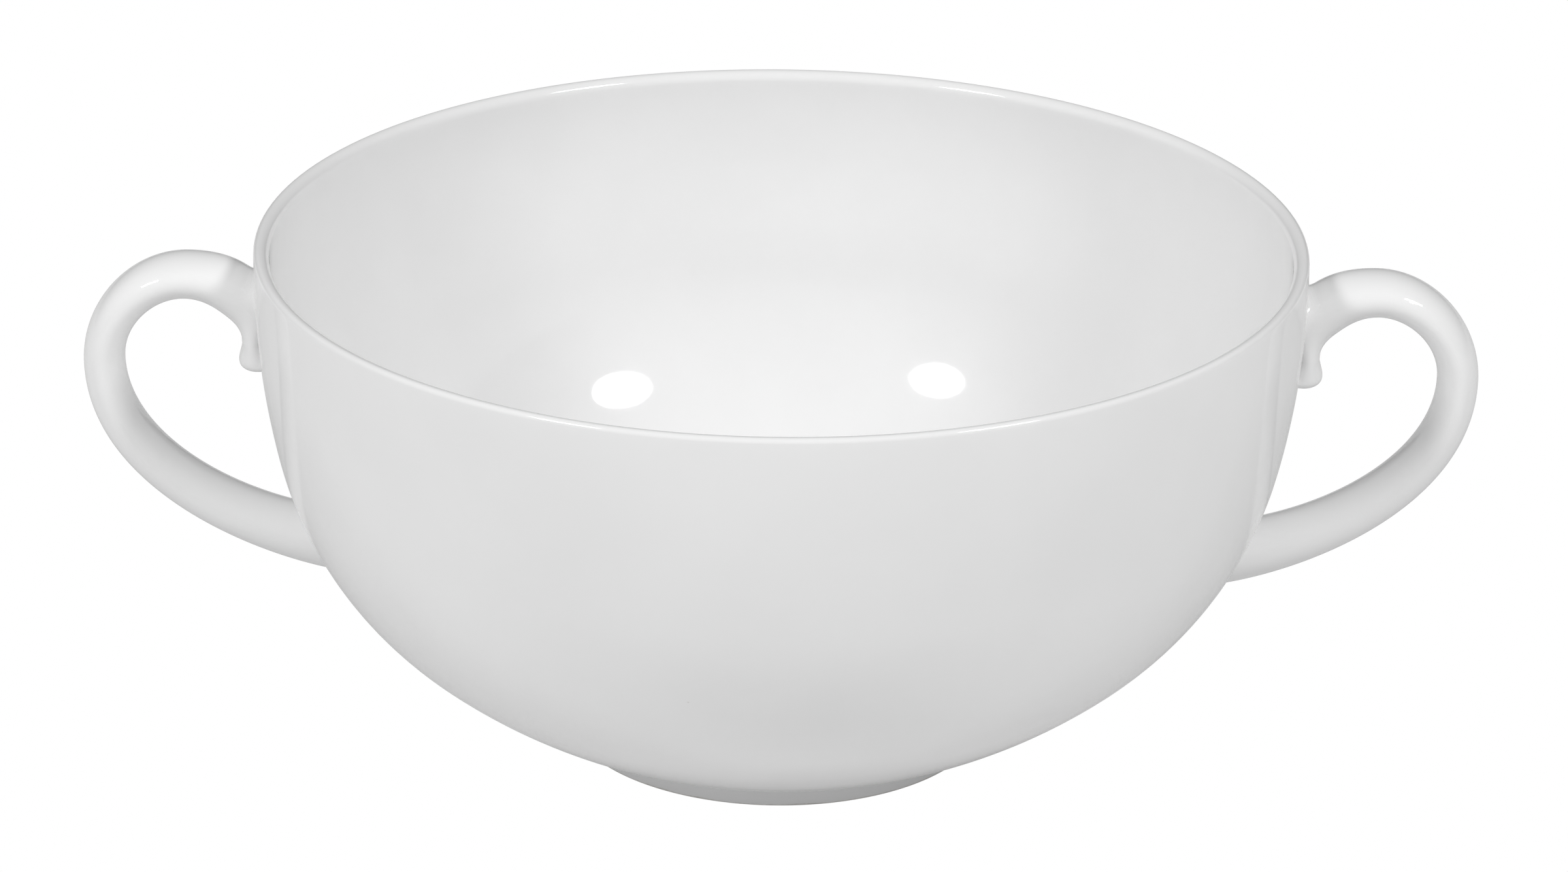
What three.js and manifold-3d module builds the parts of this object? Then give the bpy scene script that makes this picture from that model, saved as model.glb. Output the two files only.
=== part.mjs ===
// Two-handled soup cup in white glazed porcelain, in millimetres with +Z up.
// The origin lies on the table under the middle of the foot, and the handles point along X.
import * as THREE from 'three';
import { mergeVertices } from 'three/addons/utils/BufferGeometryUtils.js';
import Module from 'manifold-3d';

// Bowl, outside: drops are from the rim, rises from the table, insets from the rim, turns in degrees
const rimRadius = 56.5;
const cupHeight = 56.4;
const lipLean = 1.6;
const shoulderDrop = 22.9;
const shoulderInset = 2.2;
const shoulderTurn = 13.1;
const bellyRise = 13.3;
const bellyInset = 14.4;
const bellyTurn = 49.1;
const seatTurn = 69.2;

// Bowl, walls
const lipThickness = 1.5;
const wallThickness = 3.6;
const floorThickness = 4.2;

// Foot
const footRadius = 22.7;
const footWidth = 3.8;
const footRise = 2.2;
const footFlare = 0.8;
const footEdge = 0.4;
const recessDepth = 0.6;
const recessStep = 0.8;

// Joints of slip between the pieces
const slipThickness = 0.5;
const jointGap = 0.3;

// Handle centre line: drops and reaches are from the rim, rises from the table, climb and fall in degrees
const upperRootDrop = 8.4;
const upperRootClimb = 18.5;
const upperRootPull = 3.3;
const crownReach = 7.65;
const crownDrop = 5.05;
const crownPullIn = 4.3;
const crownPullOut = 4.6;
const bowReach = 16.75;
const bowDrop = 14.95;
const bowPullUp = 5.4;
const bowPullDown = 11.7;
const lowerRootRise = 20.6;
const lowerRootFall = 9.2;
const lowerRootPull = 11;

// Handle section: thickness in the plane of the loop, width across it
const upperRootThickness = 5.6;
const crownThickness = 4.6;
const bowThickness = 4.4;
const lowerRootThickness = 6.5;
const handleWidth = 8;
const rootFillet = 2;

// Tongue under the upper root
const tongueLength = 7.9;
const tongueWidth = 7;
const tongueStand = 2.4;
const knobStand = 3;
const knobRadius = 1.8;

// How finely curves are divided
const turnSteps = 60;
const curveSteps = 5;
const lipSteps = 4;
const sectionSides = 20;
const handleSteps = 9;
const rootSteps = 4;
const tongueSteps = 12;
const weldDistance = 1e-4;

const wasm = await Module();
wasm.setup();

const point = (r, z) => new THREE.Vector2(r, z);
const radians = THREE.MathUtils.degToRad;

// A heading turns from straight down, 0 degrees, towards the axis, 90 degrees
const headingDirection = (turn) => point(-Math.sin(radians(turn)), -Math.cos(radians(turn)));
const outwardNormal = (turn) => point(Math.cos(radians(turn)), -Math.sin(radians(turn)));

// Smooth curve between two points, close to an arc, that leaves and arrives on the given headings
function bend(from, fromTurn, to, toTurn) {
  const quarterTurn = radians(toTurn - fromTurn) / 4;
  const pull = from.distanceTo(to) / (3 * Math.cos(quarterTurn) ** 2);
  const leave = from.clone().addScaledVector(headingDirection(fromTurn), pull);
  const arrive = to.clone().addScaledVector(headingDirection(toTurn), -pull);
  return new THREE.CubicBezierCurve(from, leave, arrive, to);
}

// Knots of the outside of the wall, from the lip down to the seat of the foot
const lipRadius = lipThickness / 2;
const seatRadius = footRadius + footFlare;
const outsideKnots = [
  { at: point(rimRadius, cupHeight - lipRadius), turn: -lipLean, wall: lipThickness },
  { at: point(rimRadius - shoulderInset, cupHeight - shoulderDrop), turn: shoulderTurn, wall: wallThickness },
  { at: point(rimRadius - bellyInset, bellyRise), turn: bellyTurn, wall: wallThickness },
  { at: point(seatRadius, footRise), turn: seatTurn },
];

// Points along the smooth curve through a row of knots, moved to its outer side by an offset
function offsetPoints(knots, offset) {
  const points = [];
  knots.slice(1).forEach((knot, i) => {
    const curve = bend(knots[i].at, knots[i].turn, knot.at, knot.turn);
    for (let step = i === 0 ? 0 : 1; step <= curveSteps; step += 1) {
      const along = curve.getTangent(step / curveSteps);
      const outward = point(-along.y, along.x);
      points.push(curve.getPoint(step / curveSteps).addScaledVector(outward, offset));
    }
  });
  return points;
}

// Stretch of the outside of the wall at a height
const outside = offsetPoints(outsideKnots, 0);
function wallStretch(height) {
  const above = outside.filter((p) => p.y > height).length;
  const index = THREE.MathUtils.clamp(above, 1, outside.length - 1);
  return { low: outside[index], high: outside[index - 1] };
}

// Radius of the outside of the wall at a height
function wallRadius(height) {
  const { low, high } = wallStretch(height);
  return THREE.MathUtils.mapLinear(height, low.y, high.y, low.x, high.x);
}

// Distance of a point from the outside of the wall, below zero inside it
function wallClearance(spot) {
  const { low, high } = wallStretch(spot.z);
  const steepness = (high.y - low.y) / high.distanceTo(low);
  return (Math.hypot(spot.x, spot.y) - wallRadius(spot.z)) * steepness;
}

// Solid of revolution about Z from points (radius, height) that run up the outside
function turned(points) {
  const geometry = new THREE.LatheGeometry(points, turnSteps);
  geometry.rotateX(Math.PI / 2);
  return geometry;
}

// Closed mesh with shared vertices and no empty triangles, as a solid to join and cut
function solidOf(geometry) {
  const bare = geometry.clone();
  bare.deleteAttribute('normal');
  bare.deleteAttribute('uv');
  const merged = mergeVertices(bare, weldDistance);
  const corners = merged.index.array;
  const kept = [];
  for (let i = 0; i < corners.length; i += 3) {
    const [a, b, c] = corners.slice(i, i + 3);
    if (a !== b && b !== c && c !== a) kept.push(a, b, c);
  }
  const vertProperties = merged.attributes.position.array;
  const triVerts = Uint32Array.from(kept);
  return new wasm.Manifold(new wasm.Mesh({ numProp: 3, vertProperties, triVerts }));
}

function geometryOf(solid) {
  const mesh = solid.getMesh();
  const geometry = new THREE.BufferGeometry();
  geometry.setAttribute('position', new THREE.BufferAttribute(mesh.vertProperties, 3));
  geometry.setIndex(new THREE.BufferAttribute(mesh.triVerts, 1));
  geometry.computeVertexNormals();
  return geometry;
}

// Everything within an offset of the outside of the wall, filled to the axis
function wallBody(offset) {
  const side = offsetPoints(outsideKnots, offset).reverse();
  const top = side[side.length - 1];
  return solidOf(turned([point(0, side[0].y), ...side, point(0, top.y)]));
}

// Bowl: outside, rounded lip, inside, floor, and the recess that the foot ring surrounds
function bowlGeometry() {
  const recessRise = footRise + recessDepth;
  const insideKnots = outsideKnots.slice(0, -1).map(({ at, turn, wall }) => ({
    at: at.clone().addScaledVector(outwardNormal(turn), -wall),
    turn,
  }));
  insideKnots.push({ at: point(0, recessRise + floorThickness), turn: 90 });

  const lipTurn = radians(lipLean);
  const lipMiddle = outsideKnots[0].at.clone().addScaledVector(outwardNormal(-lipLean), -lipRadius);
  const lip = [];
  for (let step = 1; step < lipSteps; step += 1) {
    const angle = lipTurn + (Math.PI * step) / lipSteps;
    lip.push(point(lipMiddle.x + lipRadius * Math.cos(angle), lipMiddle.y + lipRadius * Math.sin(angle)));
  }

  const recessRadius = footRadius - footWidth - recessStep;
  const underside = [
    point(0, recessRise),
    point(recessRadius, recessRise),
    point(recessRadius + recessStep, footRise),
  ];
  return turned([...underside, ...outside.toReversed(), ...lip, ...offsetPoints(insideKnots, 0)]);
}

// Ring of slip between the foot ring and its seat under the bowl
function footSlipGeometry() {
  const low = footRise - jointGap - slipThickness;
  const high = footRise - jointGap;
  const inner = footRadius - footWidth + footEdge;
  const outer = footRadius + footEdge;
  return turned([
    point(inner, low),
    point(outer, low),
    point(outer, high),
    point(inner, high),
    point(inner, low),
  ]);
}

// Foot ring: flat bearing face with eased edges, flaring out towards the bowl
function footRingGeometry() {
  const top = footRise - jointGap - slipThickness - jointGap;
  const inner = footRadius - footWidth;
  const flareAtTop = footFlare * (top / footRise);
  return turned([
    point(inner, footEdge),
    point(inner + footEdge, 0),
    point(footRadius - footEdge, 0),
    point(footRadius, footEdge),
    point(footRadius + flareAtTop, top),
    point(inner, top),
    point(inner, footEdge),
  ]);
}

// Round fillet that widens a section near the wall
function filletAt(clearance) {
  const nearness = THREE.MathUtils.clamp(1 - clearance / rootFillet, 0, 1);
  return rootFillet * (1 - Math.sqrt(1 - nearness ** 2));
}

// Closed skin over a row of oval rings, each with a centre, a normal in the plane of the loop and half sizes
function loft(rings) {
  const positions = [];
  const index = [];
  const across = new THREE.Vector3(0, 1, 0);
  for (const { centre, normal, halfThickness, halfWidth } of rings) {
    for (let side = 0; side < sectionSides; side += 1) {
      const angle = (2 * Math.PI * side) / sectionSides;
      const corner = centre.clone();
      corner.addScaledVector(normal, halfThickness * Math.cos(angle));
      corner.addScaledVector(across, halfWidth * Math.sin(angle));
      const outwards = normal.clone().multiplyScalar(halfWidth * Math.cos(angle));
      outwards.addScaledVector(across, halfThickness * Math.sin(angle)).normalize();
      corner.addScaledVector(outwards, filletAt(wallClearance(corner)));
      positions.push(...corner.toArray());
    }
  }
  for (let ring = 0; ring < rings.length - 1; ring += 1) {
    for (let side = 0; side < sectionSides; side += 1) {
      const next = (side + 1) % sectionSides;
      const a = ring * sectionSides + side;
      const b = ring * sectionSides + next;
      index.push(a, a + sectionSides, b, b, a + sectionSides, b + sectionSides);
    }
  }
  const lastRing = (rings.length - 1) * sectionSides;
  for (let side = 1; side < sectionSides - 1; side += 1) {
    index.push(0, side, side + 1);
    index.push(lastRing, lastRing + side + 1, lastRing + side);
  }
  const geometry = new THREE.BufferGeometry();
  geometry.setAttribute('position', new THREE.Float32BufferAttribute(positions, 3));
  geometry.setIndex(index);
  return geometry;
}

const inLoopPlane = (p) => new THREE.Vector3(p.x, 0, p.y);

// Centre line of the handle in the plane of the loop, from the upper root to the lower root
const upperRoot = point(wallRadius(cupHeight - upperRootDrop), cupHeight - upperRootDrop);
const crown = point(rimRadius + crownReach, cupHeight - crownDrop);
const bow = point(rimRadius + bowReach, cupHeight - bowDrop);
const lowerRoot = point(wallRadius(lowerRootRise), lowerRootRise);
const climb = point(Math.cos(radians(upperRootClimb)), Math.sin(radians(upperRootClimb)));
const fall = point(-Math.cos(radians(lowerRootFall)), -Math.sin(radians(lowerRootFall)));
const rise = new THREE.CubicBezierCurve(
  upperRoot,
  upperRoot.clone().addScaledVector(climb, upperRootPull),
  point(crown.x - crownPullIn, crown.y),
  crown,
);
const turnOver = new THREE.CubicBezierCurve(
  crown,
  point(crown.x + crownPullOut, crown.y),
  point(bow.x, bow.y + bowPullUp),
  bow,
);
const sweepBack = new THREE.CubicBezierCurve(
  bow,
  point(bow.x, bow.y - bowPullDown),
  lowerRoot.clone().addScaledVector(fall, -lowerRootPull),
  lowerRoot,
);

// One section of the handle on a curve
function handleRing(curve, t, thickness) {
  const along = curve.getTangent(t);
  return {
    centre: inLoopPlane(curve.getPoint(t)),
    normal: inLoopPlane(point(-along.y, along.x)),
    halfThickness: thickness / 2,
    halfWidth: handleWidth / 2,
  };
}

// A root section moved along its curve into the wall, so that the wall can cut it
function sunkRing(ring, direction) {
  return { ...ring, centre: ring.centre.clone().addScaledVector(inLoopPlane(direction), wallThickness) };
}

// Sections along a curve, closer together over the stretches at its ends that are given as shares of it
function ringsAlong(curve, startShare, endShare, thicknessAt) {
  const stops = [];
  for (let step = 0; step < rootSteps; step += 1) {
    if (startShare > 0) stops.push((startShare * step) / rootSteps);
  }
  for (let step = 0; step < handleSteps; step += 1) {
    stops.push(THREE.MathUtils.lerp(startShare, 1 - endShare, step / handleSteps));
  }
  for (let step = 0; step <= rootSteps; step += 1) {
    if (endShare > 0) stops.push(1 - endShare * (1 - step / rootSteps));
  }
  return stops.map((t) => handleRing(curve, t, thicknessAt(t)));
}

// Loop of the handle, its ends inside the wall
function loopSolid() {
  const { lerp, smoothstep } = THREE.MathUtils;
  const rootReach = 2 * rootFillet;
  const upperShare = rootReach / rise.getLength();
  const lowerShare = rootReach / sweepBack.getLength();
  const rings = [
    ...ringsAlong(rise, upperShare, 0, (t) => lerp(upperRootThickness, crownThickness, smoothstep(t, 0, 1))),
    ...ringsAlong(turnOver, 0, 0, (t) => lerp(crownThickness, bowThickness, smoothstep(t, 0, 1))),
    ...ringsAlong(sweepBack, 0, lowerShare, (t) => lerp(bowThickness, lowerRootThickness, t ** 2)),
  ];
  const first = sunkRing(rings[0], climb.clone().negate());
  const last = sunkRing(rings[rings.length - 1], fall);
  return solidOf(loft([first, ...rings, last]));
}

// Tongue that runs down the wall from the upper root and ends in a round knob
function tongueSolid() {
  const tip = upperRoot.y - tongueLength;
  const knobTop = tip + 2 * knobRadius;
  const rings = [];
  for (let step = 0; step <= tongueSteps; step += 1) {
    const angle = (Math.PI / 2) * (step / tongueSteps);
    const height = THREE.MathUtils.lerp(upperRoot.y, tip + weldDistance, Math.sin(angle));
    const swell = 1 - THREE.MathUtils.smoothstep(height, tip + knobRadius, knobTop + knobRadius);
    const stand = THREE.MathUtils.lerp(tongueStand, knobStand, swell);
    const capShare = THREE.MathUtils.clamp((tip + knobRadius - height) / knobRadius, 0, 1);
    const cap = Math.sqrt(1 - capShare ** 2);
    rings.push({
      centre: inLoopPlane(point(wallRadius(height), height)),
      normal: new THREE.Vector3(1, 0, 0),
      halfThickness: stand * cap,
      halfWidth: (tongueWidth / 2) * cap,
    });
  }
  return solidOf(loft(rings));
}

// Half of space above or below the middle of the loop, as a large box
function halfSpace(side) {
  const size = 4 * (rimRadius + bowReach + cupHeight);
  const box = new THREE.BoxGeometry(size, size, size);
  box.translate(0, 0, (upperRoot.y + lowerRoot.y) / 2 - tongueLength / 2 + (side * size) / 2);
  return solidOf(box);
}

// Handle as cast, before its ends are cut to the wall
const casting = loopSolid().add(tongueSolid());
const slipShell = wallBody(jointGap + slipThickness).subtract(wallBody(jointGap));
const slipPads = casting.intersect(slipShell);
const handleGeometry = geometryOf(casting.subtract(wallBody(jointGap + slipThickness + jointGap)));
const upperSlipGeometry = geometryOf(slipPads.intersect(halfSpace(1)));
const lowerSlipGeometry = geometryOf(slipPads.intersect(halfSpace(-1)));

const glazedPorcelain = new THREE.MeshStandardMaterial({ color: 0xf1f1ef, roughness: 0.12, metalness: 0 });
const firedSlip = new THREE.MeshStandardMaterial({ color: 0xe9e7e2, roughness: 0.5, metalness: 0 });

function namedMesh(name, geometry, material) {
  const mesh = new THREE.Mesh(geometry, material);
  mesh.name = name;
  return mesh;
}

// One handle with its two joints, made for +X and turned about Z
function handleSide(side, turn) {
  const group = new THREE.Group();
  group.add(namedMesh(`handle_${side}`, handleGeometry, glazedPorcelain.clone()));
  group.add(namedMesh(`upper_slip_${side}`, upperSlipGeometry, firedSlip.clone()));
  group.add(namedMesh(`lower_slip_${side}`, lowerSlipGeometry, firedSlip.clone()));
  group.rotation.z = turn;
  return group;
}

const soupCup = new THREE.Group();
soupCup.add(namedMesh('bowl', bowlGeometry(), glazedPorcelain.clone()));
soupCup.add(namedMesh('foot_slip', footSlipGeometry(), firedSlip.clone()));
soupCup.add(namedMesh('foot_ring', footRingGeometry(), glazedPorcelain.clone()));
soupCup.add(handleSide('right', 0));
soupCup.add(handleSide('left', Math.PI));

export default soupCup;
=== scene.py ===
import math

import bpy
from mathutils import Matrix, Vector
from mathutils.bvhtree import BVHTree
from mathutils.geometry import interpolate_bezier


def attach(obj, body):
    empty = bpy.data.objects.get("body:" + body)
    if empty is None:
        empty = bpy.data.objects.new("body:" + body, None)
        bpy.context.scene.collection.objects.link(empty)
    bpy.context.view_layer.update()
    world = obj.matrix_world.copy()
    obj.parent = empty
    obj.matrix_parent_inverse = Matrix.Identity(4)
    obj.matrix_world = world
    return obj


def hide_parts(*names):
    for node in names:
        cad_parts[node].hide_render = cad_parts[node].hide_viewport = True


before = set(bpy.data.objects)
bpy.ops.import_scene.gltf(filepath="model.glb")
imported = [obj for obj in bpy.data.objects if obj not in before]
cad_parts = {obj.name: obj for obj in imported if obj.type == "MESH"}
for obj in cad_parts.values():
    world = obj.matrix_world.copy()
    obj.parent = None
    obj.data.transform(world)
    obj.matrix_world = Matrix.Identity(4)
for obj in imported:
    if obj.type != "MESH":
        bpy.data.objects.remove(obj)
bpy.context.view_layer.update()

MM = 0.001

# Bowl, outside: drops are from the rim, rises from the table, insets from the rim
RIM_RADIUS = 56.5
CUP_HEIGHT = 56.4
LIP_LEAN = 1.6
SHOULDER_DROP = 22.9
SHOULDER_INSET = 2.2
SHOULDER_TURN = 13.1
BELLY_RISE = 13.3
BELLY_INSET = 14.4
BELLY_TURN = 49.1
SEAT_TURN = 69.2

# Bowl, walls
LIP_OUTER_ROUND = 0.55
LIP_INNER_ROUND = 1.1
WALL_THICKNESS = 3.6
FLOOR_THICKNESS = 4.2

# Foot
FOOT_RADIUS = 23.0
FOOT_WIDTH = 4.1
FOOT_RISE = 2.2
FOOT_FLARE = 0.5
FOOT_EDGE = 0.25
FOOT_CREASE = 0.12
RECESS_DEPTH = 0.6
RECESS_STEP = 0.8

# Handle centre line: reaches and drops are from the rim, rises from the table
TONGUE_TIP_RISE = 40.6
NECK_RISE = 44.3
NECK_PULL = 3.4
CROWN_REACH = 7.65
CROWN_DROP = 5.15
CROWN_PULL_IN = 5.0
CROWN_PULL_OUT = 4.6
BOW_REACH = 16.75
BOW_DROP = 14.95
BOW_PULL_UP = 5.4
BOW_PULL_DOWN = 11.7
LOWER_ROOT_RISE = 20.6
LOWER_ROOT_FALL = 9.2
LOWER_ROOT_PULL = 11

# Handle section: thickness in the plane of the loop, width across it
KNOB_THICKNESS = 5.7
NECK_THICKNESS = 4.3
SHOULDER_THICKNESS = 5.6
CROWN_THICKNESS = 4.8
BOW_THICKNESS = 4.4
LOWER_ROOT_THICKNESS = 6.5
TONGUE_WIDTH = 7
HANDLE_WIDTH = 8
TIP_LENGTH = 1.3

# Lift of the tongue's section off the wall, and how fast it comes and goes along the strap
TONGUE_LIFT = 0.8
LIFT_GAIN = 2
LIFT_LOSS = 3

# Handle roots: radii of the fillets at the wall, and how the strap ends under the wall
TONGUE_FILLET = 0.03
UPPER_FILLET = 2.2
TOP_FILLET = 1.1
LOWER_FILLET = 1.0
FILLET_RISE = 46.5
FILLET_CHANGE = 4
ROOT_DEPTH = 0.8
ROOT_SKIRT = 0.4
ROOT_BLEND = 0.9
LEAST_SLANT = 0.3

# Glaze: sizes in millimetres, colours as linear red, green, blue and alpha
GLAZE_IOR = 1.5
THIN_GLAZE = (0.93, 0.93, 0.93, 1)
DEEP_GLAZE = (0.91, 0.91, 0.91, 1)
GLAZE_ROUGHNESS = (0.06, 0.04)
SWELL_SIZE = 16
SWELL_DETAIL = 2
SWELL_RANGE = (0.3, 0.7)
PEEL_SIZE = 1.1
PEEL_DETAIL = 1
PEEL_SHARE = 0.03
GLAZE_RELIEF = 0.05
GLAZE_BUMP = 0.35
SPECK_SPACING = 9
SPECK_SIZE = 0.16
SPECK_EDGE = (0.3, 1)
SPECK_CHANCE = 0.25
SPECK_STRENGTH = 0.3
SPECK_COLOUR = (0.5, 0.47, 0.43, 1)

# Bare body on the bearing face of the foot
WIPE_DEPTH = 0.35
WIPE_WANDER = 3
WIPE_DETAIL = 2
WIPE_EDGE = 0.12
BARE_LIGHT = (0.78, 0.77, 0.74, 1)
BARE_DARK = (0.68, 0.67, 0.64, 1)
BARE_ROUGHNESS = 0.75
BARE_BUMP = 0.6
GRAIN_SIZE = 0.3
GRAIN_DETAIL = 4
GRAIN_RANGE = (0.35, 0.7)
RUB_SIZE = 5
RUB_DETAIL = 3
RUB_RANGE = (0.52, 0.72)
RUB_STRENGTH = 0.5
RUB_COLOUR = (0.5, 0.49, 0.47, 1)

# How finely curves are divided
SPIN_STEPS = 192
CURVE_STEPS = 24
LIP_STEPS = 12
EDGE_STEPS = 6
HANDLE_SIDES = 24
TONGUE_RINGS = 10
RISE_RINGS = 12
OVER_RINGS = 8
BACK_RINGS = 26
HANDLE_SUBDIVISIONS = 2
PATH_SAMPLES = 64
WELD = 0.0005

# Softboxes: side and height in degrees, distance, width and depth in metres, power in watts
SOFTBOXES = {
    "softbox_left": (-50.5, 41, 1.2, 0.28, 0.255, 3.7),
    "softbox_right": (55.5, 45, 1.2, 0.31, 0.265, 4.2),
}

# White room: its brightness, then side, height and spread in degrees and added brightness of its glows
ROOM_COLOUR = (1, 1, 1, 1)
ROOM_LIGHT = 0.22
ROOM_GLOWS = [
    (0, 40, 60, 0.46),
    (-90, 25, 45, 0.45),
    (90, 60, 45, 0.17),
    (180, -10, 80, -0.13),
]

# Brightness of room and floor as the camera sees them
SEEN_WHITE = 1

# Floor: its size in metres, its colour and even glow, and its drop below the foot
FLOOR_SIZE = 6
FLOOR_COLOUR = (0.6, 0.6, 0.6, 1)
FLOOR_GLOW = 0.16
FLOOR_DROP = 0.05

# Camera
LENS = 135
SENSOR = 36
CAMERA_PLACE = (7.423, -591.261, 277.445)
CAMERA_TARGET = (0.488, 0.006, 33.491)
CAMERA_ROLL = 0.6611


def point(r, z):
    return Vector((r, z))


def heading(turn):
    """Direction that turns from straight down, 0 degrees, towards the axis, 90 degrees."""
    angle = math.radians(turn)
    return point(-math.sin(angle), -math.cos(angle))


def outward(turn):
    angle = math.radians(turn)
    return point(math.cos(angle), -math.sin(angle))


def bend(start, start_turn, end, end_turn, steps=CURVE_STEPS):
    """Points of a smooth curve, close to an arc, that leaves and arrives on the given headings."""
    quarter_turn = math.radians(end_turn - start_turn) / 4
    pull = (end - start).length / (3 * math.cos(quarter_turn) ** 2)
    leave = start + heading(start_turn) * pull
    arrive = end - heading(end_turn) * pull
    return interpolate_bezier(start, leave, arrive, end, steps + 1)


def arc(centre, radius, start, end, steps):
    """Points of an arc in degrees from the outward direction, with both ends."""
    angles = [math.radians(start + (end - start) * i / steps) for i in range(steps + 1)]
    return [centre + radius * point(math.cos(a), math.sin(a)) for a in angles]


def through(knots):
    """Points of the smooth curve through a row of knots, each a place and a turn."""
    points = [knots[0][0]]
    for (start, start_turn), (end, end_turn) in zip(knots, knots[1:]):
        points += bend(start, start_turn, end, end_turn)[1:]
    return points


seat_radius = FOOT_RADIUS + FOOT_FLARE
recess_rise = FOOT_RISE + RECESS_DEPTH
outside_knots = [
    (point(RIM_RADIUS, CUP_HEIGHT - LIP_OUTER_ROUND), -LIP_LEAN),
    (point(RIM_RADIUS - SHOULDER_INSET, CUP_HEIGHT - SHOULDER_DROP), SHOULDER_TURN),
    (point(RIM_RADIUS - BELLY_INSET, BELLY_RISE), BELLY_TURN),
    (point(seat_radius, FOOT_RISE), SEAT_TURN),
]
outside = through(outside_knots)


def wall_radius(height):
    """Radius of the outside of the wall at a height."""
    for high, low in zip(outside, outside[1:]):
        if low.y <= height:
            share = (height - low.y) / (high.y - low.y)
            return low.x + share * (high.x - low.x)
    return outside[-1].x


def start_fresh():
    """Leaves edit mode and selects nothing."""
    if bpy.context.mode != "OBJECT":
        bpy.ops.object.mode_set(mode="OBJECT")
    bpy.ops.object.select_all(action="DESELECT")


def spin_profile(name, points):
    """Draws a profile of radius and height by extruding one vertex, then spins it about Z."""
    start_fresh()
    bpy.ops.mesh.primitive_plane_add(size=MM)
    piece = bpy.context.object
    piece.name = piece.data.name = name
    bpy.ops.object.mode_set(mode="EDIT")
    bpy.ops.mesh.select_all(action="SELECT")
    bpy.ops.mesh.merge(type="CENTER")
    places = [Vector((p.x, 0, p.y)) * MM for p in points]
    bpy.ops.transform.translate(value=places[0])
    for here, there in zip(places, places[1:]):
        bpy.ops.mesh.extrude_region_move(TRANSFORM_OT_translate={"value": there - here})
    bpy.ops.mesh.select_all(action="SELECT")
    bpy.ops.mesh.spin(steps=SPIN_STEPS, angle=math.tau, center=(0, 0, 0), axis=(0, 0, 1))
    close_mesh()
    bpy.ops.object.shade_smooth()
    return piece


def close_mesh():
    """Merges doubles, turns the faces outwards and leaves edit mode."""
    bpy.ops.mesh.select_all(action="SELECT")
    bpy.ops.mesh.remove_doubles(threshold=WELD * MM)
    bpy.ops.mesh.normals_make_consistent(inside=False)
    bpy.ops.object.mode_set(mode="OBJECT")


def make_bowl():
    """Shell of the bowl: underside, outside, rounded lip, inside and floor."""
    lip_place, lip_turn = outside_knots[0]
    outer_middle = lip_place - outward(lip_turn) * LIP_OUTER_ROUND
    inner_middle = outer_middle - point(0, LIP_INNER_ROUND - LIP_OUTER_ROUND)
    lip = arc(outer_middle, LIP_OUTER_ROUND, LIP_LEAN, 90, LIP_STEPS)
    lip += arc(inner_middle, LIP_INNER_ROUND, 90, 180 + LIP_LEAN, LIP_STEPS)[1:]
    inside_knots = [(lip[-1], lip_turn)]
    for place, turn in outside_knots[1:3]:
        inside_knots.append((place - outward(turn) * WALL_THICKNESS, turn))
    inside_knots.append((point(0, recess_rise + FLOOR_THICKNESS), 90))
    foot_inner = FOOT_RADIUS - FOOT_WIDTH
    underside = [
        point(0, recess_rise),
        point(foot_inner - RECESS_STEP, recess_rise),
        point(foot_inner + FOOT_EDGE, FOOT_RISE),
    ]
    profile = underside + outside[::-1] + lip[1:-1] + through(inside_knots)
    return spin_profile("bowl_shell", profile)


def make_foot():
    """Foot ring with a flat bearing face, eased edges and the creases where it meets the bowl."""
    inner = FOOT_RADIUS - FOOT_WIDTH
    seat = point(seat_radius, FOOT_RISE)
    side = (seat - point(FOOT_RADIUS, FOOT_EDGE)).normalized()
    belly = -heading(SEAT_TURN)
    hidden_rise = recess_rise + RECESS_STEP
    recess_middle = point(inner - RECESS_STEP, recess_rise - RECESS_STEP)
    recess_fillet = arc(recess_middle, RECESS_STEP, 90, 0, EDGE_STEPS)
    inner_edge = arc(point(inner + FOOT_EDGE, FOOT_EDGE), FOOT_EDGE, 180, 270, EDGE_STEPS)
    outer_edge = arc(point(FOOT_RADIUS - FOOT_EDGE, FOOT_EDGE), FOOT_EDGE, 270, 360, EDGE_STEPS)
    crease = interpolate_bezier(
        seat - side * FOOT_CREASE, seat, seat, seat + belly * FOOT_CREASE, EDGE_STEPS + 1
    )
    hidden = [point(seat_radius, hidden_rise), point(inner - RECESS_STEP, hidden_rise)]
    profile = recess_fillet + inner_edge + outer_edge + crease + hidden
    return spin_profile("foot_of_cup", profile + profile[:1])


def stretches():
    """Bezier stretches of the handle's centre line in the plane of the loop, from the tongue's tip."""
    fall = math.radians(LOWER_ROOT_FALL)
    inwards = -point(math.cos(fall), math.sin(fall))
    tip = point(wall_radius(TONGUE_TIP_RISE), TONGUE_TIP_RISE)
    neck = point(wall_radius(NECK_RISE), NECK_RISE)
    crown = point(RIM_RADIUS + CROWN_REACH, CUP_HEIGHT - CROWN_DROP)
    bow = point(RIM_RADIUS + BOW_REACH, CUP_HEIGHT - BOW_DROP)
    root = point(wall_radius(LOWER_ROOT_RISE), LOWER_ROOT_RISE)
    third = (neck - tip) / 3
    return [
        (tip, tip + third, neck - third, neck),
        (neck, neck + point(0, NECK_PULL), crown - point(CROWN_PULL_IN, 0), crown),
        (crown, crown + point(CROWN_PULL_OUT, 0), bow + point(0, BOW_PULL_UP), bow),
        (bow, bow - point(0, BOW_PULL_DOWN), root - inwards * LOWER_ROOT_PULL, root),
    ]


def length_of(stretch):
    points = interpolate_bezier(*stretch, PATH_SAMPLES)
    return sum((b - a).length for a, b in zip(points, points[1:]))


def ease(start, end, share):
    """Value between two that leaves and arrives gently."""
    share = min(max(share, 0), 1)
    return start + (end - start) * share * share * (3 - 2 * share)


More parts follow.
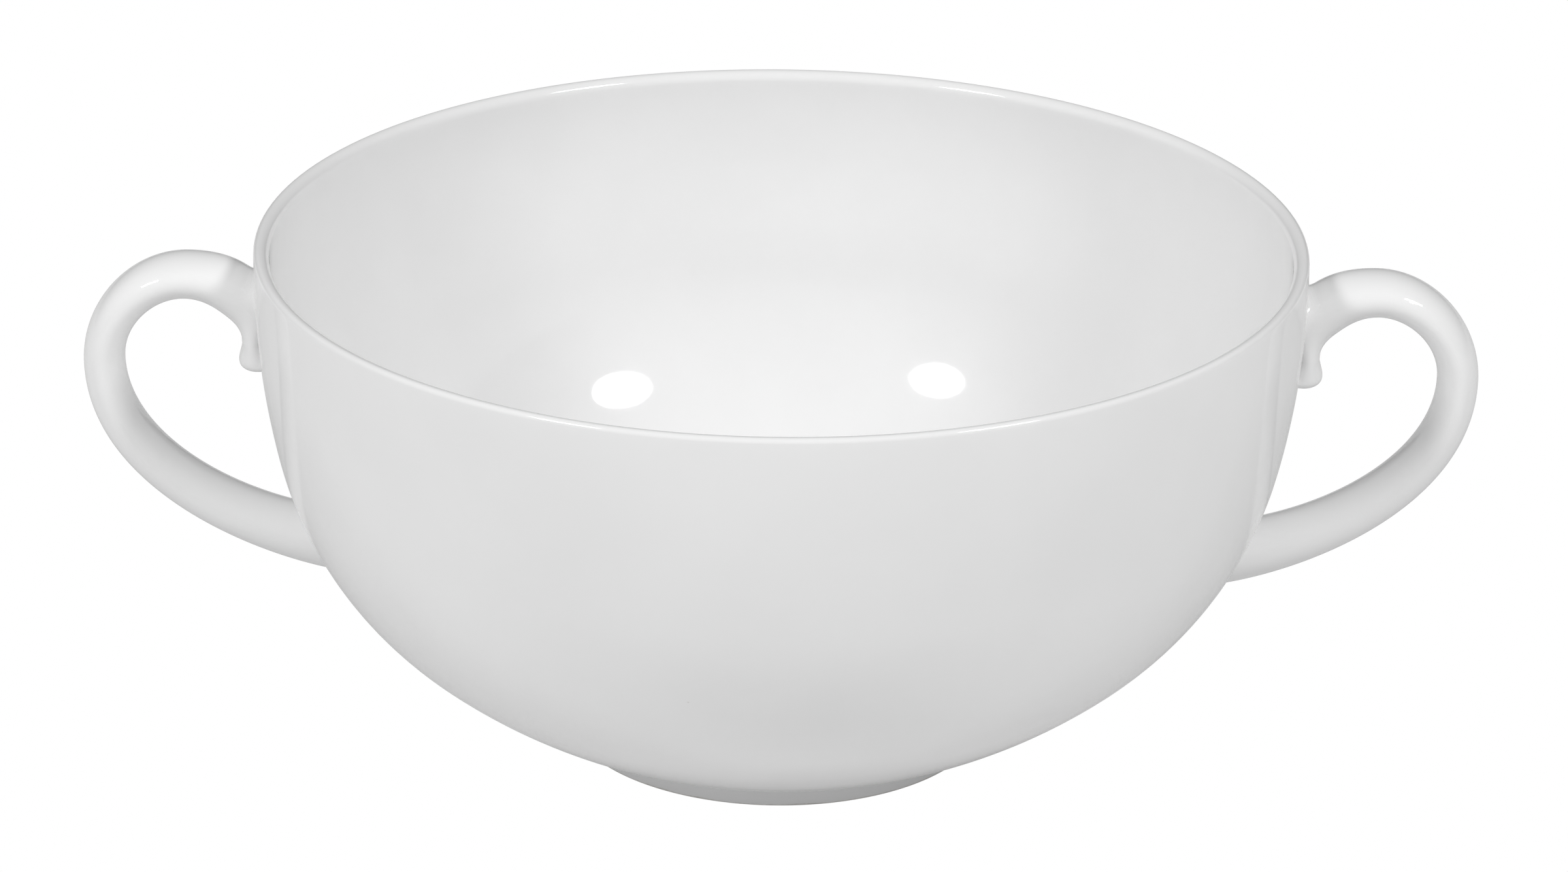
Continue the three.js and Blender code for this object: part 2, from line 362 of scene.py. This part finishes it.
def lifted(thickness, width, lift):
    """Section whose middle is lifted off the wall, with its outer face kept in place."""
    return thickness - 2 * lift, width, lift


def tongue_section(share, length):
    from_tip = share * length
    cap = math.sqrt(max(1 - max(1 - from_tip / TIP_LENGTH, 0) ** 2, 0))
    thickness = ease(KNOB_THICKNESS, NECK_THICKNESS, (from_tip - TIP_LENGTH) / (length - TIP_LENGTH))
    return lifted(thickness * cap, TONGUE_WIDTH * cap, ease(0, TONGUE_LIFT, share * LIFT_GAIN))


def rise_section(share, length):
    if share < 0.5:
        thickness = ease(NECK_THICKNESS, SHOULDER_THICKNESS, share * 2)
    else:
        thickness = ease(SHOULDER_THICKNESS, CROWN_THICKNESS, share * 2 - 1)
    width = ease(TONGUE_WIDTH, HANDLE_WIDTH, share)
    return lifted(thickness, width, ease(TONGUE_LIFT, 0, share * LIFT_LOSS))


def over_section(share, length):
    return ease(CROWN_THICKNESS, BOW_THICKNESS, share), HANDLE_WIDTH, 0


def back_section(share, length):
    return BOW_THICKNESS + (LOWER_ROOT_THICKNESS - BOW_THICKNESS) * share ** 2, HANDLE_WIDTH, 0


def strap_stations(path):
    """Place along the strap, thickness, width and lift of each of its sections, from the tongue's tip."""
    sections = [tongue_section, rise_section, over_section, back_section]
    counts = [TONGUE_RINGS, RISE_RINGS, OVER_RINGS, BACK_RINGS]
    stations = []
    start = 0
    for stretch, section, count in zip(path, sections, counts):
        length = length_of(stretch)
        for step in range(1, count + 1):
            share = step / count
            stations.append((start + share * length, *section(share, length)))
        start += length
    stations.append((start + WALL_THICKNESS / 2, LOWER_ROOT_THICKNESS, HANDLE_WIDTH, 0))
    return stations


def draw_centre_line(path):
    """Curve of the handle's centre line, drawn flat in XY so that the strap can be bent along it."""
    start_fresh()
    bpy.ops.curve.primitive_bezier_curve_add()
    line = bpy.context.object
    line.data.dimensions = "2D"
    line.data.resolution_u = PATH_SAMPLES
    spline = line.data.splines[0]
    spline.bezier_points.add(len(path) - 1)
    for knot in spline.bezier_points:
        knot.handle_left_type = knot.handle_right_type = "FREE"
    for index, (start, leave, arrive, end) in enumerate(path):
        here, there = spline.bezier_points[index], spline.bezier_points[index + 1]
        here.co = start.to_3d() * MM
        here.handle_right = leave.to_3d() * MM
        there.handle_left = arrive.to_3d() * MM
        there.co = end.to_3d() * MM
    first, last = spline.bezier_points[0], spline.bezier_points[-1]
    first.handle_left = 2 * first.co - first.handle_right
    last.handle_right = 2 * last.co - last.handle_left
    return line


def draw_strap(stations):
    """Straight strap along X with an oval section at each station, thick along Y and wide along Z."""
    draw_in = (2 + math.cos(math.tau / HANDLE_SIDES)) / 3
    start_fresh()
    bpy.ops.mesh.primitive_circle_add(vertices=HANDLE_SIDES, radius=MM, fill_type="NGON")
    strap = bpy.context.object
    strap.name = strap.data.name = "handle_strap"
    bpy.ops.object.mode_set(mode="EDIT")
    bpy.ops.mesh.select_all(action="SELECT")
    bpy.ops.transform.rotate(value=math.pi / 2, orient_axis="Y", center_override=(0, 0, 0))
    place, thickness, width, lift = stations[0]
    here = Vector((place, -lift, 0)) * MM
    bpy.ops.transform.resize(value=(1, thickness / 2 / draw_in, width / 2 / draw_in))
    bpy.ops.transform.translate(value=here)
    for place, next_thickness, next_width, lift in stations[1:]:
        there = Vector((place, -lift, 0)) * MM
        bpy.ops.mesh.extrude_region_move(TRANSFORM_OT_translate={"value": there - here})
        bpy.ops.transform.resize(
            value=(1, next_thickness / thickness, next_width / width), center_override=there
        )
        here, thickness, width = there, next_thickness, next_width
    close_mesh()
    return strap


def apply_modifier(piece, kind, **settings):
    modifier = piece.modifiers.new(kind.title(), kind)
    for name, value in settings.items():
        setattr(modifier, name, value)
    bpy.context.view_layer.objects.active = piece
    bpy.ops.object.modifier_apply(modifier=modifier.name)


def fillet_at(height, upward):
    """Radius of the fillet at the wall: tiny along the tongue, larger at the roots, less on top."""
    if height < (TONGUE_TIP_RISE + LOWER_ROOT_RISE) / 2:
        return LOWER_FILLET
    upper = ease(UPPER_FILLET, TOP_FILLET, upward)
    return ease(TONGUE_FILLET, upper, (height - FILLET_RISE) / FILLET_CHANGE)


def root_to_wall(strap):
    """Flares the ends of the strap into the wall and keeps what is hidden under it shallow."""
    former = spin_profile("wall_former", outside)
    former_mesh = former.data
    wall = BVHTree.FromObject(former, bpy.context.evaluated_depsgraph_get())
    normals = [v.normal.copy() for v in strap.data.vertices]
    end_slope = ROOT_BLEND ** 2 / math.sqrt(1 - ROOT_BLEND ** 2)
    for vertex, normal in zip(strap.data.vertices, normals):
        spot, away, _, _ = wall.find_nearest(vertex.co)
        if away.to_2d().dot(spot.to_2d()) < 0:
            away = -away
        clearance = (vertex.co - spot).dot(away) / MM
        along = normal - away * normal.dot(away)
        along /= max(along.length, LEAST_SLANT)
        fillet = fillet_at(vertex.co.z / MM, along.z)
        nearness = 1 - clearance / fillet
        if nearness < 0:
            continue
        reach = ROOT_BLEND * min(nearness, 1)
        flare = 1 - math.sqrt(1 - reach ** 2)
        flare += min(max(nearness - 1, 0), ROOT_SKIRT) * end_slope
        lift = max(-ROOT_DEPTH - clearance, 0)
        vertex.co += (along * flare * fillet + away * lift) * MM
    bpy.data.objects.remove(former)
    bpy.data.meshes.remove(former_mesh)


def make_handle():
    """One strap that hangs a tongue on the wall, rises, turns over and sweeps back to its lower root."""
    path = stretches()
    line = draw_centre_line(path)
    strap = draw_strap(strap_stations(path))
    apply_modifier(strap, "SUBSURF", levels=HANDLE_SUBDIVISIONS, render_levels=HANDLE_SUBDIVISIONS)
    apply_modifier(strap, "CURVE", object=line, deform_axis="POS_X")
    bpy.data.objects.remove(line)
    start_fresh()
    strap.select_set(True)
    bpy.context.view_layer.objects.active = strap
    strap.rotation_euler = (math.pi / 2, 0, 0)
    bpy.ops.object.transform_apply(location=True, rotation=True, scale=True)
    root_to_wall(strap)
    bpy.ops.object.shade_smooth()
    return strap


def turn_copy(piece, name):
    """Copy of a piece with its own mesh, turned half round the cup's axis."""
    start_fresh()
    piece.select_set(True)
    bpy.context.view_layer.objects.active = piece
    bpy.ops.object.duplicate(linked=False)
    copy = bpy.context.object
    copy.name = copy.data.name = name
    copy.rotation_euler = (0, 0, math.pi)
    bpy.ops.object.transform_apply(location=True, rotation=True, scale=True)
    return copy


def add_node(tree, kind, inputs=None, **settings):
    """Node with its settings, and its inputs set to values or linked to other nodes' outputs."""
    made = tree.nodes.new(kind)
    for name, value in settings.items():
        setattr(made, name, value)
    for name, value in (inputs or {}).items():
        if isinstance(value, bpy.types.NodeSocket):
            tree.links.new(value, made.inputs[name])
        else:
            made.inputs[name].default_value = value
    return made


def ramp(tree, value, low, high, start, end):
    """Value that runs smoothly from start to end as its input runs from low to high."""
    limits = {"From Min": low, "From Max": high, "To Min": start, "To Max": end}
    made = add_node(
        tree, "ShaderNodeMapRange", {"Value": value, **limits}, interpolation_type="SMOOTHSTEP"
    )
    return made.outputs["Result"]


def combine(tree, operation, first, second):
    made = add_node(tree, "ShaderNodeMath", {0: first, 1: second}, operation=operation)
    return made.outputs["Value"]


def noise(tree, place, scale, detail):
    made = add_node(tree, "ShaderNodeTexNoise", {"Vector": place, "Scale": scale, "Detail": detail})
    return made.outputs["Fac"]


def mix_values(tree, share, first, second):
    return add_node(tree, "ShaderNodeMix", {"Factor": share, "A": first, "B": second}).outputs["Result"]


def mix_colours(tree, share, first, second):
    made = add_node(tree, "ShaderNodeMix", {"Factor": share, "A": first, "B": second}, data_type="RGBA")
    return made.outputs["Result"]


def new_group(name, inputs, outputs):
    """Empty shader node group with the named sockets, and its two ends."""
    group = bpy.data.node_groups.new(name, "ShaderNodeTree")
    for socket, kind in inputs.items():
        group.interface.new_socket(socket, in_out="INPUT", socket_type=kind)
    for socket, kind in outputs.items():
        group.interface.new_socket(socket, in_out="OUTPUT", socket_type=kind)
    return group, group.nodes.new("NodeGroupInput"), group.nodes.new("NodeGroupOutput")


def glaze_flow_group():
    """Slow swells of a glaze that ran a little in the kiln, and the fine peel on top of them."""
    group, start, end = new_group(
        "glaze_flow",
        {"Place": "NodeSocketVector", "Swell Size": "NodeSocketFloat", "Peel Size": "NodeSocketFloat"},
        {"Depth": "NodeSocketFloat", "Height": "NodeSocketFloat"},
    )
    place = start.outputs["Place"]
    swell_scale = combine(group, "DIVIDE", 1, start.outputs["Swell Size"])
    peel_scale = combine(group, "DIVIDE", 1, start.outputs["Peel Size"])
    swell = noise(group, place, swell_scale, SWELL_DETAIL)
    peel = noise(group, place, peel_scale, PEEL_DETAIL)
    fine = combine(group, "MULTIPLY", peel, PEEL_SHARE)
    height = combine(group, "ADD", swell, fine)
    depth = ramp(group, swell, *SWELL_RANGE, 0, 1)
    group.links.new(depth, end.inputs["Depth"])
    group.links.new(height, end.inputs["Height"])
    return group


def kiln_specks_group():
    """Few tiny specks that fired into the body, as a mask."""
    group, start, end = new_group(
        "kiln_specks",
        {"Place": "NodeSocketVector", "Spacing": "NodeSocketFloat", "Speck Size": "NodeSocketFloat"},
        {"Specks": "NodeSocketFloat"},
    )
    scale = combine(group, "DIVIDE", 1, start.outputs["Spacing"])
    cells = add_node(group, "ShaderNodeTexVoronoi", {"Vector": start.outputs["Place"], "Scale": scale})
    far = combine(group, "MULTIPLY", cells.outputs["Distance"], start.outputs["Spacing"])
    reach = combine(group, "DIVIDE", far, start.outputs["Speck Size"])
    dot = ramp(group, reach, *SPECK_EDGE, 1, 0)
    chance = add_node(group, "ShaderNodeSeparateColor", {"Color": cells.outputs["Color"]})
    rare = combine(group, "LESS_THAN", chance.outputs["Red"], SPECK_CHANCE)
    specks = combine(group, "MULTIPLY", dot, rare)
    group.links.new(specks, end.inputs["Specks"])
    return group


def glaze_finish(tree, flow_group, specks_group):
    """Colour, roughness and height of the white body under its clear glaze."""
    place = add_node(tree, "ShaderNodeTexCoord").outputs["Object"]
    flow = add_node(tree, "ShaderNodeGroup", node_tree=flow_group)
    specks = add_node(tree, "ShaderNodeGroup", node_tree=specks_group)
    for group_node in (flow, specks):
        tree.links.new(place, group_node.inputs["Place"])
    flow.inputs["Swell Size"].default_value = SWELL_SIZE * MM
    flow.inputs["Peel Size"].default_value = PEEL_SIZE * MM
    specks.inputs["Spacing"].default_value = SPECK_SPACING * MM
    specks.inputs["Speck Size"].default_value = SPECK_SIZE * MM
    white = mix_colours(tree, flow.outputs["Depth"], THIN_GLAZE, DEEP_GLAZE)
    speck_share = combine(tree, "MULTIPLY", specks.outputs["Specks"], SPECK_STRENGTH)
    colour = mix_colours(tree, speck_share, white, SPECK_COLOUR)
    roughness = ramp(tree, flow.outputs["Depth"], 0, 1, *GLAZE_ROUGHNESS)
    return place, colour, roughness, flow.outputs["Height"]


def glaze_material(flow_group, specks_group):
    """White porcelain under a clear gloss glaze."""
    material = bpy.data.materials.new("clear_gloss_glaze")
    material.use_nodes = True
    tree = material.node_tree
    shader = tree.nodes["Principled BSDF"]
    shader.inputs["IOR"].default_value = GLAZE_IOR
    _, colour, roughness, height = glaze_finish(tree, flow_group, specks_group)
    bump = add_node(
        tree, "ShaderNodeBump", {"Height": height, "Strength": GLAZE_BUMP, "Distance": GLAZE_RELIEF * MM}
    )
    tree.links.new(colour, shader.inputs["Base Color"])
    tree.links.new(roughness, shader.inputs["Roughness"])
    tree.links.new(bump.outputs["Normal"], shader.inputs["Normal"])
    return material


def foot_material(flow_group, specks_group):
    """The same glaze, wiped from the bearing face, where the bare fired body shows."""
    material = bpy.data.materials.new("foot_glaze_and_bare_body")
    material.use_nodes = True
    tree = material.node_tree
    shader = tree.nodes["Principled BSDF"]
    shader.inputs["IOR"].default_value = GLAZE_IOR
    place, colour, roughness, height = glaze_finish(tree, flow_group, specks_group)
    up = add_node(tree, "ShaderNodeSeparateXYZ", {"Vector": place}).outputs["Z"]
    wander = noise(tree, place, 1 / (WIPE_WANDER * MM), WIPE_DETAIL)
    edge = combine(tree, "MULTIPLY", wander, WIPE_DEPTH * MM)
    bare = ramp(tree, combine(tree, "SUBTRACT", up, edge), 0, WIPE_EDGE * MM, 1, 0)
    grain = noise(tree, place, 1 / (GRAIN_SIZE * MM), GRAIN_DETAIL)
    body = mix_colours(tree, ramp(tree, grain, *GRAIN_RANGE, 0, 1), BARE_LIGHT, BARE_DARK)
    rubbed = noise(tree, place, 1 / (RUB_SIZE * MM), RUB_DETAIL)
    rub_share = ramp(tree, rubbed, *RUB_RANGE, 0, RUB_STRENGTH)
    body = mix_colours(tree, rub_share, body, RUB_COLOUR)
    skin = mix_values(tree, bare, height, grain)
    bump = add_node(
        tree, "ShaderNodeBump", {"Height": skin, "Strength": BARE_BUMP, "Distance": GLAZE_RELIEF * MM}
    )
    dull = mix_values(tree, bare, roughness, BARE_ROUGHNESS)
    tree.links.new(mix_colours(tree, bare, colour, body), shader.inputs["Base Color"])
    tree.links.new(dull, shader.inputs["Roughness"])
    tree.links.new(bump.outputs["Normal"], shader.inputs["Normal"])
    return material


def place_piece(piece, material, slot, *nodes):
    piece.data.materials.clear()
    piece.data.materials.append(material)
    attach(piece, "root")
    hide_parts(*nodes)


def make_floor():
    """Plain pale floor with an even glow, plain white to the camera and clear from below."""
    start_fresh()
    bpy.ops.mesh.primitive_plane_add(size=FLOOR_SIZE, location=(0, 0, -FLOOR_DROP * MM))
    floor = bpy.context.object
    floor.name = "studio_floor"
    material = bpy.data.materials.new("pale_floor")
    material.use_nodes = True
    tree = material.node_tree
    tree.nodes.remove(tree.nodes["Principled BSDF"])
    pale = add_node(tree, "ShaderNodeBsdfDiffuse", {"Color": FLOOR_COLOUR})
    glow = add_node(tree, "ShaderNodeEmission", {"Strength": FLOOR_GLOW})
    lit = add_node(tree, "ShaderNodeAddShader", {0: pale.outputs["BSDF"], 1: glow.outputs["Emission"]})
    white = add_node(tree, "ShaderNodeEmission", {"Strength": SEEN_WHITE})
    seen = add_node(tree, "ShaderNodeLightPath").outputs["Is Camera Ray"]
    above = add_node(
        tree, "ShaderNodeMixShader", {0: seen, 1: lit.outputs["Shader"], 2: white.outputs["Emission"]}
    )
    below = add_node(tree, "ShaderNodeBsdfTransparent")
    from_below = add_node(tree, "ShaderNodeNewGeometry").outputs["Backfacing"]
    look = add_node(
        tree, "ShaderNodeMixShader", {0: from_below, 1: above.outputs["Shader"], 2: below.outputs["BSDF"]}
    )
    tree.links.new(look.outputs["Shader"], tree.nodes["Material Output"].inputs["Surface"])
    floor.data.materials.append(material)


def towards(side, height):
    """Direction from the cup: side is in degrees to the right of the camera, height above the floor."""
    side, height = math.radians(side), math.radians(height)
    return Vector((math.sin(side) * math.cos(height), -math.cos(side) * math.cos(height), math.sin(height)))


def make_softbox(name, side, height, distance, width, depth, power):
    """Area light aimed at the middle of the cup."""
    data = bpy.data.lights.new(name, "AREA")
    data.shape = "ELLIPSE"
    data.size, data.size_y = width, depth
    data.energy = power
    softbox = bpy.data.objects.new(name, data)
    bpy.context.scene.collection.objects.link(softbox)
    away = towards(side, height)
    softbox.location = Vector((0, 0, CUP_HEIGHT / 2 * MM)) + away * distance
    softbox.rotation_euler = away.to_track_quat("Z", "Y").to_euler()


def room_glow(tree, direction, side, height, spread, brightness):
    """Brightness that one side of the room adds, fading out softly over its spread."""
    facing = add_node(
        tree, "ShaderNodeVectorMath", {0: direction, 1: towards(side, height)}, operation="DOT_PRODUCT"
    )
    return ramp(tree, facing.outputs["Value"], math.cos(math.radians(spread)), 1, 0, brightness)


def make_room():
    """White room with brighter and dimmer sides; the camera sees it as plain white."""
    world = bpy.data.worlds.new("white_studio")
    bpy.context.scene.world = world
    world.use_nodes = True
    tree = world.node_tree
    direction = add_node(tree, "ShaderNodeTexCoord").outputs["Generated"]
    seen = add_node(tree, "ShaderNodeLightPath").outputs["Is Camera Ray"]
    light = ROOM_LIGHT
    for glow in ROOM_GLOWS:
        light = combine(tree, "ADD", light, room_glow(tree, direction, *glow))
    background = tree.nodes["Background"]
    background.inputs["Color"].default_value = ROOM_COLOUR
    tree.links.new(mix_values(tree, seen, light, SEEN_WHITE), background.inputs["Strength"])


def make_lights():
    make_room()
    for name, placing in SOFTBOXES.items():
        make_softbox(name, *placing)


def make_camera():
    data = bpy.data.cameras.new("photo_camera")
    data.lens = LENS
    data.sensor_width = SENSOR
    data.sensor_fit = "HORIZONTAL"
    camera = bpy.data.objects.new("photo_camera", data)
    bpy.context.scene.collection.objects.link(camera)
    place = Vector(CAMERA_PLACE) * MM
    aim = Vector(CAMERA_TARGET) * MM - place
    turn = aim.to_track_quat("-Z", "Y").to_matrix().to_4x4()
    roll = Matrix.Rotation(math.radians(CAMERA_ROLL), 4, "Z")
    camera.matrix_world = Matrix.Translation(place) @ turn @ roll
    bpy.context.scene.camera = camera


glaze_flow = glaze_flow_group()
kiln_specks = kiln_specks_group()
glaze = glaze_material(glaze_flow, kiln_specks)
foot_glaze = foot_material(glaze_flow, kiln_specks)
bowl = make_bowl()
place_piece(bowl, glaze, "glazed_porcelain", "bowl")
foot = make_foot()
place_piece(foot, foot_glaze, "glazed_porcelain", "foot_ring", "foot_slip")
right_handle = make_handle()
right_handle.name = right_handle.data.name = "right_loop_handle"
left_handle = turn_copy(right_handle, "left_loop_handle")
for handle, side in ((right_handle, "right"), (left_handle, "left")):
    nodes = [f"handle_{side}", f"upper_slip_{side}", f"lower_slip_{side}"]
    place_piece(handle, glaze, "glazed_porcelain", *nodes)

make_floor()
make_lights()
make_camera()
bpy.context.scene.view_settings.view_transform = "Standard"
